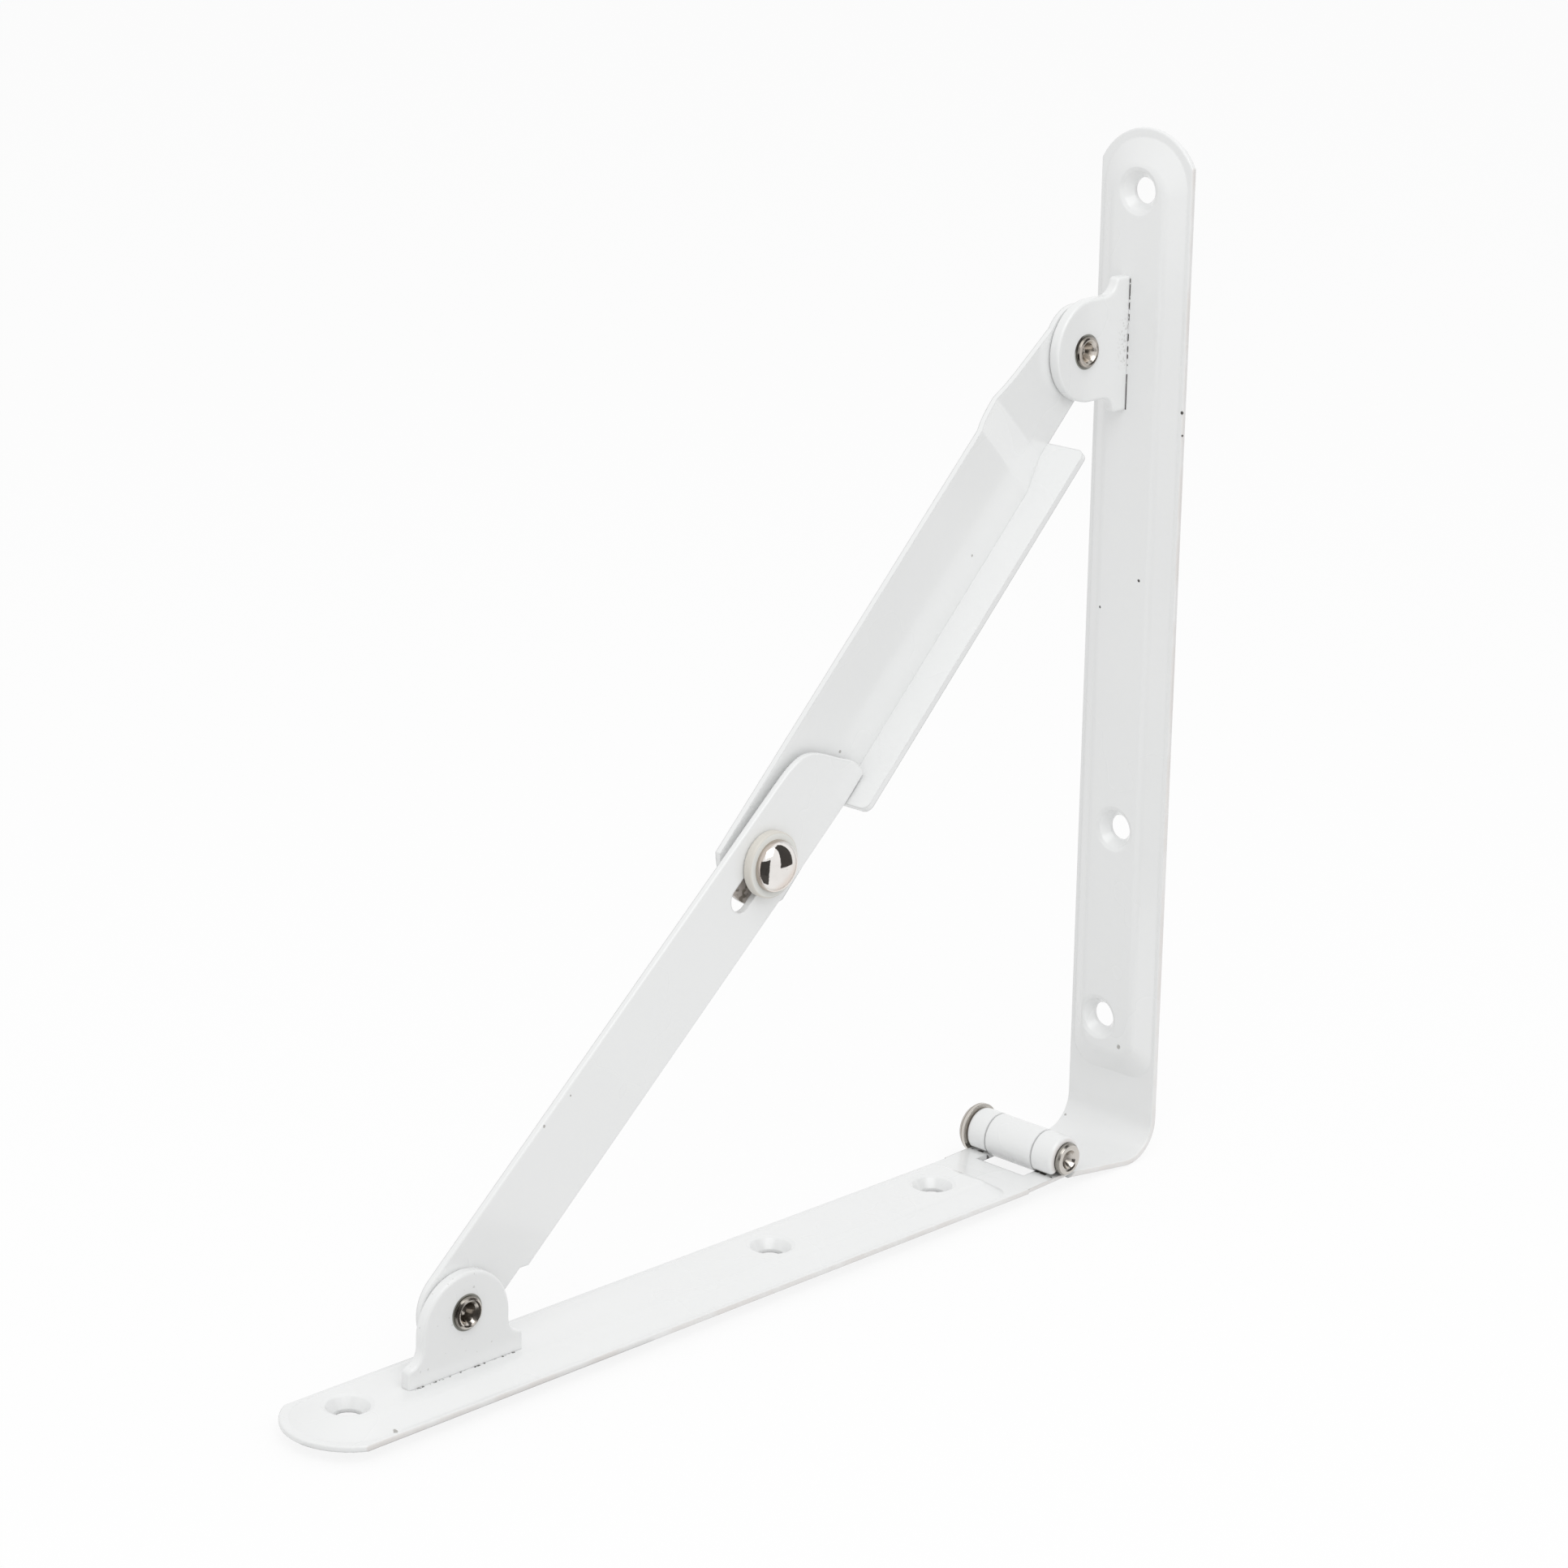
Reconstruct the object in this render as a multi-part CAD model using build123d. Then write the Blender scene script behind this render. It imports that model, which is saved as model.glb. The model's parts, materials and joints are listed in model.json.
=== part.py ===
"""Folding shelf bracket: two crowned sheet-steel arms on a pinned hinge, held open by a two-part knee strut.

The origin is in the shelf arm's screw hole nearest the hinge, halfway down its straight wall. The hinge axis runs
along Y, the shelf arm lies along -X and the wall arm stands up at +X. Millimetres.
"""

import os
from math import acos, atan2, cos, degrees, hypot, radians, sin, sqrt

from build123d import *

os.makedirs("parts", exist_ok=True)

# ---- sheet and arm strip ----
STRIP_WIDTH = 21.0
ARM_SHEET = 1.1
CROWN_RISE = 2.2            # crown top above the lips
CROWN_TOP_HALF = 6.0        # half width of the flat crown top
CROWN_FOOT_HALF = 9.55      # half width where the crown meets the lips
CROWN_CREST_R = 3.0
CROWN_ROOT_R = 1.5
STRIP_END_R = 11.9          # arc at each arm's free end
EDGE_R = 0.35               # softened sheet edges under the powder coat

# ---- hinge ----
ROLL_R = 4.15               # outside of the rolled knuckles
ROLL_END_ROUND = 0.8        # the shelf knuckles' outer ends are rounded over
HINGE_RUNNING = 0.05        # radial clearance of the hinge pin
SEAM_GAP = 0.3              # between neighbouring knuckles
MIDDLE_KNUCKLE = (-5.5, 5.85)
NOTCH_DEPTH = 6.0           # how far the shelf arm is cut back behind the hinge axis
SHELF_ROLL_END = 218.0      # degrees round from +X where the shelf arm's roll stops
WALL_ROLL_SWEEP = 218.0
PIN_NEAR_END = -11.7
PIN_FAR_HEAD = 12.9
PIN_FAR_HEAD_R = 4.7
PIN_FAR_HEAD_T = 1.5
PIN_RING_R = 3.1
PIN_BORE_R = 1.5

# ---- shelf arm ----
SHELF_LIP_DROP = 3.45       # shelf arm's lip plane under the hinge axis
SHELF_TONGUE_RUN = 10.0     # ramp from the lip plane to the roll
SHELF_CORNER = 169.8        # end of the straight edges, from the hinge axis
SHELF_CROWN = (13.6, 174.4)
SHELF_TOE_RUN = (3.5, 5.0)
SHELF_CROWN_CORNER_R = (4.0, 9.0)
SHELF_HOLES = ((25.2, 0.0), (67.8, 0.0), (165.2, 0.0))

# ---- wall arm, in its own frame before it leans ----
WALL_LEAN = 1.14            # degrees the wall arm closes past square
WALL_LIP_SETBACK = 25.6     # wall arm's lip plane behind the hinge axis
WALL_BEND_R = 7.4           # outside of the bend
WALL_FOOT_SLOPE = 8.2       # degrees the foot falls away from the hinge
WALL_CORNER = 181.8
WALL_CROWN = (7.7, 186.4)
WALL_TOE_RUN = (4.5, 5.0)
WALL_CROWN_CORNER_R = (5.0, 9.0)
WALL_HOLES = ((18.6, 2.2), (56.7, 0.0), (176.9, 0.0))

# ---- pressed countersinks ----
DIMPLE_RIM_R = 3.7
SCREW_HOLE_R = 2.4
DIMPLE_DEPTH = 2.0
DIMPLE_WALL = 0.95
DIMPLE_LAND = 0.6           # straight wall of each screw hole under its cone
DIMPLE_RIM_ROUND = 0.35

# ---- lugs ----
LUG_T = 2.2
LUG_TOP_R = 9.4
LUG_FOOT_HALF = 12.4
LUG_FOOT_RISE = 3.4
LUG_TOE_R = 0.9
LUG_EDGE_R = 0.5
SHELF_LUG_AT = 142.45       # pivot distance from the hinge axis along the shelf arm
SHELF_LUG_RISE = 10.2       # pivot above the crown top
SHELF_LUG_CREST = 2.4       # pivot above the centre of the lug's round top
WALL_LUG_AT = 149.15
WALL_LUG_RISE = 11.5
WALL_LUG_CREST = 1.5
PIVOT_R = 2.2
PIVOT_RUNNING = 0.05
RIVET_RING_R = 2.9
RIVET_RING_RISE = 0.8
RIVET_HOLLOW_R = 1.85
RIVET_HOLLOW_DEPTH = 2.4
RIVET_HEAD_R = 3.9
RIVET_HEAD_T = 1.1

# ---- stack across the width ----
STRUT_SHEET = 1.15
SIDE_GAP = 0.1              # axial running gap at the pivots
SHELF_LUG_FRONT = -3.15
KNEE_SPACER_T = 1.0
WALL_LUG_FRONT = 1.1

# ---- knee, from the hinge axis ----
KNEE_X = -72.4
KNEE_Z = 70.7
KNEE_PIN_R = 2.35
KNEE_RUNNING = 0.06
KNEE_SLIDE = 8.0
KNEE_WASHER_R = 5.9
KNEE_WASHER_T = 1.8
KNEE_DOME_R = 4.6
KNEE_DOME_RISE = 2.7
KNEE_DOME_RIM = 0.3
KNEE_SPACER_R = 4.4
KNEE_TAIL_HEAD_R = 4.4
KNEE_TAIL_HEAD_T = 1.3

# ---- lower strut, in its own frame: u along the strut from its pivot, n square to it ----
LOWER_END_R = 8.2
LOWER_HALF = 8.2
LOWER_NECK = 6.9            # inner edge beside the pivot
LOWER_NECK_END = 12.4
LOWER_FLANGE = (13.8, 62.0)
LOWER_FLANGE_RISE = 4.8
LOWER_TIP = 119.0
LOWER_TIP_LOW = -7.35
LOWER_TIP_ROUND = 0.7

# ---- upper strut, in its own frame: u from its pivot, negative toward the knee ----
UPPER_KNEE_OFFSET = 3.3     # knee above the strut's own line
UPPER_OUTER = 11.9
UPPER_INNER = -7.45         # outside of the flange
UPPER_FLANGE = (-94.6, -16.4)
UPPER_FLANGE_FRONT = -5.4
UPPER_FOLD_R = 1.6
UPPER_KNEE_END_R = 12.5
UPPER_KNEE_END_RUN = 7.6    # end of the web beyond the knee
UPPER_PIVOT_R = 7.9
UPPER_PIVOT_INNER = -6.5
JOGGLE = (-27.0, -19.3)     # the web steps back here to pass behind its lug

# ---- derived ----
STRIP_HALF = STRIP_WIDTH / 2
ROLL_BORE_R = ROLL_R - ARM_SHEET
PIN_R = ROLL_BORE_R - HINGE_RUNNING
END_RISE = STRIP_END_R - sqrt(STRIP_END_R**2 - STRIP_HALF**2)
slope = radians(WALL_FOOT_SLOPE)
lean = radians(WALL_LEAN)
BEND_X = WALL_LIP_SETBACK + ARM_SHEET - WALL_BEND_R
BEND_Z = (WALL_BEND_R - ROLL_R - BEND_X * sin(slope)) / cos(slope)
HINGE_X = SHELF_HOLES[0][0]
HINGE_Z = SHELF_LIP_DROP - CROWN_RISE + DIMPLE_DEPTH + DIMPLE_LAND / 2
SHELF_LUG_BACK = SHELF_LUG_FRONT + LUG_T
LOWER_FRONT = SHELF_LUG_BACK + SIDE_GAP
LOWER_BACK = LOWER_FRONT + STRUT_SHEET
SPACER_FRONT = LOWER_BACK + SIDE_GAP
UPPER_FRONT = SPACER_FRONT + KNEE_SPACER_T
UPPER_BACK = UPPER_FRONT + STRUT_SHEET
WALL_LUG_BACK = WALL_LUG_FRONT + LUG_T
UPPER_END_FRONT = WALL_LUG_BACK + SIDE_GAP
UPPER_END_BACK = UPPER_END_FRONT + STRUT_SHEET
P1 = (-SHELF_LUG_AT, -SHELF_LIP_DROP + CROWN_RISE + SHELF_LUG_RISE)
p2_back = WALL_LIP_SETBACK - CROWN_RISE - WALL_LUG_RISE
P2 = (p2_back * cos(lean) - WALL_LUG_AT * sin(lean), p2_back * sin(lean) + WALL_LUG_AT * cos(lean))
LOWER_LENGTH = hypot(KNEE_X - P1[0], KNEE_Z - P1[1])
LOWER_ANGLE = degrees(atan2(KNEE_Z - P1[1], KNEE_X - P1[0]))
UPPER_LENGTH = hypot(P2[0] - KNEE_X, P2[1] - KNEE_Z)
UPPER_KNEE_U = -sqrt(UPPER_LENGTH**2 - UPPER_KNEE_OFFSET**2)
UPPER_ANGLE = degrees(atan2(P2[1] - KNEE_Z, P2[0] - KNEE_X)) + degrees(atan2(UPPER_KNEE_OFFSET, -UPPER_KNEE_U))
HINGE = Pos(HINGE_X, 0, HINGE_Z)
WALL = HINGE * Rot(0, -WALL_LEAN, 0)
LOWER = HINGE * Pos(P1[0], 0, P1[1]) * Rot(0, -LOWER_ANGLE, 0)
UPPER = HINGE * Pos(P2[0], 0, P2[1]) * Rot(0, -UPPER_ANGLE, 0)


def across(face, front, back):
    """Solid standing across the width from Y = front to Y = back under a side-view sketch."""
    return extrude(Plane.XZ.offset(-back) * face, back - front)


def round_bar(radius, front, back, x=0.0, z=0.0):
    """Cylinder along Y centred on a side-view point."""
    return across(Pos(x, z) * Circle(radius), front, back)


def turned(profile):
    """Solid turned about Y from (radius, y) points."""
    outline = make_face(Plane.XY * Polyline(*profile, close=True))
    return revolve(outline, Axis.Y)


def along_edges(solid, half, shortest):
    """Edges on the two long sides that are not just the sheet's thickness."""
    picked = [e for e in solid.edges() if abs(abs(e.center().Y) - half) < 1e-3 and e.length > shortest]
    return ShapeList(picked)


def crown_outline(start, stop, half, corners):
    """Plan of the crown at one height, with its own corner radius at each end."""
    plan = Pos((start + stop) / 2, 0) * Rectangle(stop - start, 2 * half)
    plan = fillet(plan.vertices().sort_by(Axis.X)[:2], corners[0])
    return fillet(plan.vertices().sort_by(Axis.X)[-2:], corners[1])


def crown_block(reach, runs, corners):
    """Solid block of the crown standing on the lip plane."""
    taper = CROWN_FOOT_HALF - CROWN_TOP_HALF
    low = crown_outline(reach[0], reach[1], CROWN_FOOT_HALF, corners)
    tight = (corners[0] - taper / 2, corners[1] - taper)
    top = crown_outline(reach[0] + runs[0], reach[1] - runs[1], CROWN_TOP_HALF, tight)
    block = loft([low, Pos(0, 0, CROWN_RISE) * top], ruled=True)
    return fillet(block.edges().group_by(Axis.Z)[-1], CROWN_CREST_R)


def dimple(at):
    """Pressed cup added under the crown, and the cut that opens it."""
    wall = revolve(
        make_face(
            Polyline(
                (0, CROWN_RISE - ARM_SHEET / 2),
                (DIMPLE_RIM_R + DIMPLE_WALL, CROWN_RISE - ARM_SHEET / 2),
                (SCREW_HOLE_R + DIMPLE_WALL, CROWN_RISE - DIMPLE_DEPTH - DIMPLE_LAND),
                (0, CROWN_RISE - DIMPLE_DEPTH - DIMPLE_LAND),
                close=True,
            )
        )
        .rotate(Axis.X, 90),
        Axis.Z,
    )
    opening = revolve(
        make_face(
            Polyline(
                (0, CROWN_RISE + 1),
                (DIMPLE_RIM_R + 2 * DIMPLE_RIM_ROUND, CROWN_RISE + 1),
                (DIMPLE_RIM_R + 2 * DIMPLE_RIM_ROUND, CROWN_RISE),
                (DIMPLE_RIM_R, CROWN_RISE - DIMPLE_RIM_ROUND),
                (SCREW_HOLE_R, CROWN_RISE - DIMPLE_DEPTH),
                (SCREW_HOLE_R, -ARM_SHEET - 1),
                (0, -ARM_SHEET - 1),
                close=True,
            )
        )
        .rotate(Axis.X, 90),
        Axis.Z,
    )
    place = Pos(at[0], at[1], 0)
    return place * wall, place * opening


def arm_strip(start, corner, reach, runs, corners, holes):
    """Crowned strip along +X with its crown up and the top of its lips at Z = 0."""
    plan = make_face(
        Line((start, -STRIP_HALF), (corner, -STRIP_HALF))
        + ThreePointArc((corner, -STRIP_HALF), (corner + END_RISE, 0), (corner, STRIP_HALF))
        + Line((corner, STRIP_HALF), (start, STRIP_HALF))
        + Line((start, STRIP_HALF), (start, -STRIP_HALF))
    )
    plate = extrude(Pos(0, 0, -ARM_SHEET) * plan, ARM_SHEET)
    rim = [e for e in plate.edges() if e.length > STRIP_HALF and e.center().X > start + 1]
    plate = fillet(ShapeList(rim), EDGE_R)
    block = crown_block(reach, runs, corners)
    strip = plate + block - Pos(0, 0, -ARM_SHEET) * block
    for hole in holes:
        wall, opening = dimple(hole)
        strip = strip + wall - opening
    return strip


def roll(radius, bore, first, sweep):
    """Side view of a knuckle rolled through an angle about the hinge axis."""
    last = first + sweep
    rim = CenterArc((0, 0), radius, first, sweep)
    eye = CenterArc((0, 0), bore, first, sweep)
    starts = Line(eye @ 0, rim @ 0)
    stops = Line(eye @ 1, rim @ 1)
    return make_face(rim + eye + starts + stops)


# ---- shelf arm ----
tail = (-SHELF_TONGUE_RUN, -SHELF_LIP_DROP - ARM_SHEET)
tail_reach = hypot(*tail)
meet = degrees(atan2(tail[1], tail[0])) + degrees(acos(ROLL_R / tail_reach))
low_meet = (ROLL_R * cos(radians(meet)), ROLL_R * sin(radians(meet)))
top_meet = (ROLL_BORE_R * cos(radians(meet)), ROLL_BORE_R * sin(radians(meet)))
ramp = make_face(
    Polyline(tail, low_meet, top_meet, (tail[0], tail[1] + ARM_SHEET), close=True)
)
shelf_side = ramp + roll(ROLL_R, ROLL_BORE_R, meet, SHELF_ROLL_END - meet)
shelf_end = across(shelf_side, -STRIP_HALF, STRIP_HALF)
notch = (MIDDLE_KNUCKLE[0] - SEAM_GAP / 2, MIDDLE_KNUCKLE[1] + SEAM_GAP / 2)
notch_side = Pos(ROLL_R, -ROLL_R) * Rectangle(2 * (ROLL_R + NOTCH_DEPTH), 6 * ROLL_R)
shelf_end -= across(notch_side, notch[0], notch[1])
outer_rims = [e for e in shelf_end.edges().filter_by(GeomType.CIRCLE) if abs(e.radius - ROLL_R) < 1e-3]
outer_rims = [e for e in outer_rims if abs(abs(e.center().Y) - STRIP_HALF) < 1e-3]
shelf_end = fillet(ShapeList(outer_rims), ROLL_END_ROUND)
shelf_strip = arm_strip(
    SHELF_TONGUE_RUN, SHELF_CORNER, SHELF_CROWN, SHELF_TOE_RUN, SHELF_CROWN_CORNER_R, SHELF_HOLES
)
shelf_arm = HINGE * (Pos(0, 0, -SHELF_LIP_DROP) * Rot(0, 0, 180) * shelf_strip + shelf_end)

# ---- wall arm ----
bend_low = (BEND_X - WALL_BEND_R * sin(slope), BEND_Z - WALL_BEND_R * cos(slope))
bend_in = WALL_BEND_R - ARM_SHEET
bend_top = (BEND_X - bend_in * sin(slope), BEND_Z - bend_in * cos(slope))
roll_low = (-ROLL_R * sin(slope), -ROLL_R * cos(slope))
roll_top = (-ROLL_BORE_R * sin(slope), -ROLL_BORE_R * cos(slope))
foot = make_face(Polyline(roll_low, bend_low, bend_top, roll_top, close=True))
bend_sweep = 90 + WALL_FOOT_SLOPE
bend = Pos(BEND_X, BEND_Z) * roll(WALL_BEND_R, bend_in, -bend_sweep, bend_sweep)
foot_body = across(foot + bend, -STRIP_HALF, STRIP_HALF)
foot_body = fillet(along_edges(foot_body, STRIP_HALF, 2 * ARM_SHEET), EDGE_R)
knuckle_room = round_bar(ROLL_R + 1.5 * SEAM_GAP, -STRIP_HALF - 1, STRIP_HALF + 1)
left_room = across(Pos(-ROLL_R, 0) * Rectangle(2 * ROLL_R, 4 * ROLL_R), -STRIP_HALF - 1, STRIP_HALF + 1)
foot_body -= knuckle_room + left_room
wall_reach = (MIDDLE_KNUCKLE[0] + SEAM_GAP / 2, MIDDLE_KNUCKLE[1] - SEAM_GAP / 2)
foot_tongue = across(foot, wall_reach[0], wall_reach[1])
wall_roll = roll(ROLL_R, ROLL_BORE_R, -90 - WALL_FOOT_SLOPE, -WALL_ROLL_SWEEP)
wall_knuckle = across(wall_roll, wall_reach[0], wall_reach[1])
wall_strip = arm_strip(BEND_Z, WALL_CORNER, WALL_CROWN, WALL_TOE_RUN, WALL_CROWN_CORNER_R, WALL_HOLES)
wall_own = Pos(WALL_LIP_SETBACK, 0, 0) * Rot(0, -90, 0) * wall_strip
wall_arm = WALL * (wall_own + foot_body + foot_tongue + wall_knuckle)

# ---- hinge pin, riveted over at the near end ----
knuckle_far = STRIP_HALF + SIDE_GAP
pin_profile = [
    (0, PIN_NEAR_END + 1.6),
    (PIN_BORE_R * 0.55, PIN_NEAR_END + 1.5),
    (PIN_BORE_R, PIN_NEAR_END + 0.7),
    (PIN_BORE_R + 0.35, PIN_NEAR_END + 0.15),
    (PIN_BORE_R + 0.75, PIN_NEAR_END),
    (PIN_RING_R - 0.3, PIN_NEAR_END + 0.08),
    (PIN_RING_R, PIN_NEAR_END + 0.45),
    (PIN_RING_R, -knuckle_far - 0.15),
    (PIN_R, -knuckle_far),
    (PIN_R, knuckle_far),
    (PIN_FAR_HEAD_R, knuckle_far),
    (PIN_FAR_HEAD_R, knuckle_far + PIN_FAR_HEAD_T * 0.5),
    (PIN_FAR_HEAD_R - 0.5, knuckle_far + PIN_FAR_HEAD_T),
    (PIN_FAR_HEAD_R - 1.7, PIN_FAR_HEAD),
    (0, PIN_FAR_HEAD + 0.15),
]
hinge_pin = HINGE * turned(pin_profile)


def lug(crest):
    """Pivot lug in side view, its foot on Z = 0 and its round top centred over the origin."""
    shoulder = min(LUG_FOOT_HALF - LUG_TOP_R, crest - LUG_FOOT_RISE)
    turn = LUG_FOOT_RISE + shoulder
    flare = Pos(0, turn / 2) * Rectangle(2 * (LUG_TOP_R + shoulder), turn)
    for side in (-1, 1):
        flare -= Pos(side * (LUG_TOP_R + shoulder), turn) * Circle(shoulder)
    foot = Pos(0, LUG_FOOT_RISE / 2) * Rectangle(2 * LUG_FOOT_HALF, LUG_FOOT_RISE)
    neck = Pos(0, crest / 2) * Rectangle(2 * LUG_TOP_R, crest)
    crown = Pos(0, crest) * Circle(LUG_TOP_R) & Pos(0, crest + LUG_TOP_R / 2) * Rectangle(2 * LUG_TOP_R, LUG_TOP_R)
    outline = flare + foot + neck + crown
    corner = (LUG_FOOT_HALF, LUG_FOOT_RISE)
    toes = [v for v in outline.vertices() if abs(abs(v.X) - corner[0]) + abs(v.Y - corner[1]) < 1e-3]
    return fillet(toes, min(LUG_TOE_R, shoulder / 2))


def lug_body(rise, crest, front):
    """Lug with rounded front and back edges and its rivet hole."""
    body = across(lug(rise - crest), front, front + LUG_T)
    rim = [e for e in body.edges() if abs(e.center().Y - front - LUG_T / 2) > LUG_T / 2 - 1e-3]
    rim = [e for e in rim if e.center().Z > 1e-3]
    body = fillet(ShapeList(rim), LUG_EDGE_R)
    return body - round_bar(PIVOT_R, front - 1, front + LUG_T + 1, 0, rise)


def lug_rivet(front, head):
    """Semi-tubular rivet from a ring rolled over in front to a plain head behind the strut."""
    ring = front - RIVET_RING_RISE
    profile = [
        (0, ring + RIVET_HOLLOW_DEPTH),
        (RIVET_HOLLOW_R * 0.5, ring + RIVET_HOLLOW_DEPTH * 0.85),
        (RIVET_HOLLOW_R * 0.9, ring + RIVET_RING_RISE * 0.7),
        (RIVET_HOLLOW_R + 0.2, ring + 0.12),
        (RIVET_HOLLOW_R + 0.5, ring),
        (RIVET_RING_R - 0.2, ring + 0.18),
        (RIVET_RING_R, ring + 0.5),
        (RIVET_RING_R, front),
        (PIVOT_R, front),
        (PIVOT_R, front + LUG_T),
        (PIVOT_R - PIVOT_RUNNING, front + LUG_T),
        (PIVOT_R - PIVOT_RUNNING, head),
        (RIVET_HEAD_R, head),
        (RIVET_HEAD_R, head + RIVET_HEAD_T * 0.4),
        (RIVET_HEAD_R - 0.9, head + RIVET_HEAD_T),
        (0, head + RIVET_HEAD_T),
    ]
    return turned(profile)


shelf_seat = HINGE * Pos(-SHELF_LUG_AT, 0, -SHELF_LIP_DROP + CROWN_RISE)
lower_lug = shelf_seat * lug_body(SHELF_LUG_RISE, SHELF_LUG_CREST, SHELF_LUG_FRONT)
lower_lug_rivet = shelf_seat * Pos(0, 0, SHELF_LUG_RISE) * lug_rivet(SHELF_LUG_FRONT, LOWER_BACK + SIDE_GAP)
wall_seat = WALL * Pos(WALL_LIP_SETBACK - CROWN_RISE, 0, WALL_LUG_AT) * Rot(0, -90, 0)
upper_lug = wall_seat * lug_body(WALL_LUG_RISE, WALL_LUG_CREST, WALL_LUG_FRONT)
upper_lug_rivet = wall_seat * Pos(0, 0, WALL_LUG_RISE) * lug_rivet(WALL_LUG_FRONT, UPPER_END_BACK + SIDE_GAP)

# ---- lower strut ----
tip_curve = Spline(
    (104.0, LOWER_HALF),
    (112.6, 6.2),
    (117.3, -1.2),
    (LOWER_TIP, -5.2),
    tangents=[(1, 0), (0.15, -1)],
)
lower_outline = make_face(
    Line((0, LOWER_HALF), (104.0, LOWER_HALF))
    + tip_curve
    + Line((LOWER_TIP, -5.2), (LOWER_TIP, LOWER_TIP_LOW))
    + Line((LOWER_TIP, LOWER_TIP_LOW), (112.8, -7.88))
    + Line((112.8, -7.88), (92.7, -LOWER_HALF))
    + Line((92.7, -LOWER_HALF), (LOWER_FLANGE[0], -LOWER_HALF))
    + Line((LOWER_FLANGE[0], -LOWER_HALF), (LOWER_NECK_END, -LOWER_NECK))
    + Line((LOWER_NECK_END, -LOWER_NECK), (0, -LOWER_NECK))
    + ThreePointArc((0, -LOWER_NECK), (-LOWER_END_R * 0.93, 0.6), (0, LOWER_HALF))
)
tip_corner = lower_outline.vertices().sort_by_distance((LOWER_TIP, LOWER_TIP_LOW, 0))[0]
lower_outline = fillet(tip_corner, LOWER_TIP_ROUND)
slot_half = KNEE_PIN_R + KNEE_RUNNING
slot_room = KNEE_SLIDE + KNEE_RUNNING
slot = Pos(LOWER_LENGTH - slot_room / 2 + KNEE_RUNNING, 0) * SlotCenterToCenter(slot_room, 2 * slot_half)
lower_web = across(lower_outline, LOWER_FRONT, LOWER_BACK)
front_rim = [e for e in lower_web.edges() if abs(e.center().Y - LOWER_FRONT) < 1e-3]
lower_web = fillet(ShapeList(front_rim), EDGE_R)
flange_mid = (LOWER_FLANGE[0] + LOWER_FLANGE[1]) / 2
flange_long = LOWER_FLANGE[1] - LOWER_FLANGE[0]
lower_edge_fold = Pos(flange_mid, -LOWER_HALF + STRUT_SHEET / 2) * Rectangle(flange_long, STRUT_SHEET)
lower_flange = across(lower_edge_fold, LOWER_FRONT + EDGE_R, LOWER_BACK + LOWER_FLANGE_RISE)
lower_strut = lower_web + lower_flange
lower_strut -= across(slot, LOWER_FRONT - 1, LOWER_BACK + 1)
lower_strut -= round_bar(PIVOT_R, LOWER_FRONT - 1, LOWER_BACK + 1)
lower_strut = LOWER * lower_strut

# ---- upper strut ----
end_u = UPPER_KNEE_U - UPPER_KNEE_END_RUN
web_side = make_face(
    Polyline(
        (end_u - 2, UPPER_FRONT),
        (JOGGLE[0], UPPER_FRONT),
        (JOGGLE[1], UPPER_END_FRONT),
        (12, UPPER_END_FRONT),
        (12, UPPER_END_BACK),
        (JOGGLE[1], UPPER_END_BACK),
        (JOGGLE[0], UPPER_BACK),
        (end_u - 2, UPPER_BACK),
        close=True,
    )
)
bends = [v for v in web_side.vertices() if JOGGLE[0] - 1e-3 < v.X < JOGGLE[1] + 1e-3]
web_side = fillet(bends, 2.5)
web_block = extrude(Pos(0, 0, UPPER_INNER) * web_side, UPPER_OUTER - UPPER_INNER)
shoulder_u = end_u + UPPER_KNEE_END_R - sqrt(UPPER_KNEE_END_R**2 - (UPPER_OUTER - UPPER_KNEE_OFFSET) ** 2)
inner_rise = UPPER_KNEE_OFFSET - UPPER_INNER
inner_u = end_u + UPPER_KNEE_END_R - sqrt(UPPER_KNEE_END_R**2 - inner_rise**2)
upper_outline = make_face(
    Line((inner_u, UPPER_INNER), (UPPER_FLANGE[1], UPPER_INNER))
    + Line((UPPER_FLANGE[1], UPPER_INNER), (UPPER_FLANGE[1], UPPER_PIVOT_INNER))
    + Line((UPPER_FLANGE[1], UPPER_PIVOT_INNER), (-1.0, UPPER_PIVOT_INNER))
    + ThreePointArc((-1.0, UPPER_PIVOT_INNER), (UPPER_PIVOT_R, 0.8), (-1.5, 8.1))
    + Line((-1.5, 8.1), (-12.0, 9.4))
    + Spline((-12.0, 9.4), (-17.0, 10.3), (-25.0, UPPER_OUTER), tangents=[(-1, 0.125), (-1, 0.1)])
    + Line((-25.0, UPPER_OUTER), (shoulder_u, UPPER_OUTER))
    + ThreePointArc((shoulder_u, UPPER_OUTER), (end_u, UPPER_KNEE_OFFSET), (inner_u, UPPER_INNER))
)
upper_web = across(upper_outline, UPPER_FLANGE_FRONT, UPPER_END_BACK + 1) & web_block
flange_side = make_face(
    Polyline(
        (UPPER_FLANGE[0], UPPER_FLANGE_FRONT),
        (UPPER_FLANGE[1], UPPER_FLANGE_FRONT),
        (UPPER_FLANGE[1], UPPER_END_BACK),
        (JOGGLE[1], UPPER_END_BACK),
        (JOGGLE[0], UPPER_BACK),
        (UPPER_FLANGE[0], UPPER_BACK),
        close=True,
    )
)
front_corners = [v for v in flange_side.vertices() if v.Y < UPPER_FLANGE_FRONT + 1e-3]
flange_side = fillet(front_corners, 1.5)
bends = [v for v in flange_side.vertices() if JOGGLE[0] - 1e-3 < v.X < JOGGLE[1] + 1e-3]
flange_side = fillet(bends, 2.5)
upper_flange = extrude(Pos(0, 0, UPPER_INNER) * flange_side, STRUT_SHEET)
upper_strut = upper_web + upper_flange
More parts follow.
